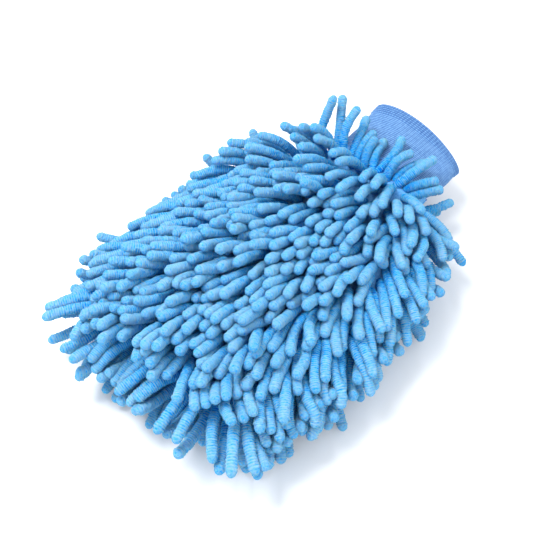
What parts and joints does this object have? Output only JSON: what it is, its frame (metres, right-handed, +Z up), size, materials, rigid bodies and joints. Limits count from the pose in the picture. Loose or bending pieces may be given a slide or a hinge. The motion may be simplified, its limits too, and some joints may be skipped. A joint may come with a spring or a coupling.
{
  "type": "chenille wash mitt",
  "caption": "Soft wash mitt with a thick pile of blue chenille noodles on both faces, a lined bag and a rib-knit cuff that bends at its seam.",
  "frame": {"origin": "on the surface that the mitt lies on, under the middle of its length and width", "axes": "+X from the finger end towards the cuff, +Y to the left side seen from above with the cuff ahead, +Z up from the palm face to the top face"},
  "size_m": [0.2999, 0.1898, 0.08],
  "materials": {
    "chenille": "soft matt pile",
    "base_cloth": "matt knit",
    "lining": "matt mesh knit",
    "thread": "satin thread",
    "rib_knit": "matt rib knit",
    "elastic": "matt covered elastic"
  },
  "bodies": {
    "mitt": {"noodle_row_top_01": "chenille", "noodle_row_top_02": "chenille", "noodle_row_top_03": "chenille", "noodle_row_top_04": "chenille", "noodle_row_top_05": "chenille", "noodle_row_top_06": "chenille", "noodle_row_top_07": "chenille", "noodle_row_top_08": "chenille", "noodle_row_top_09": "chenille", "noodle_row_top_10": "chenille", "noodle_row_top_11": "chenille", "noodle_row_top_12": "chenille", "noodle_row_top_13": "chenille", "noodle_row_palm_01": "chenille", "noodle_row_palm_02": "chenille", "noodle_row_palm_03": "chenille", "noodle_row_palm_04": "chenille", "noodle_row_palm_05": "chenille", "noodle_row_palm_06": "chenille", "noodle_row_palm_07": "chenille", "noodle_row_palm_08": "chenille", "noodle_row_palm_09": "chenille", "noodle_row_palm_10": "chenille", "noodle_row_palm_11": "chenille", "noodle_row_palm_12": "chenille", "noodle_row_palm_13": "chenille", "top_backing": "base_cloth", "palm_backing": "base_cloth", "top_lining": "lining", "palm_lining": "lining", "edge_seam": "thread"},
    "cuff": {"rib_cuff": "rib_knit", "cuff_elastic": "elastic", "cuff_seam": "thread"}
  },
  "joints": [
    {"name": "cuff_bend", "type": "hinge", "parent": "mitt", "child": "cuff", "pos_m": [0.092, 0, 0.036], "axis": [0, -1, 0], "range_deg": [-20, 20], "stiffness_Nm_per_rad": 0.15}
  ]
}
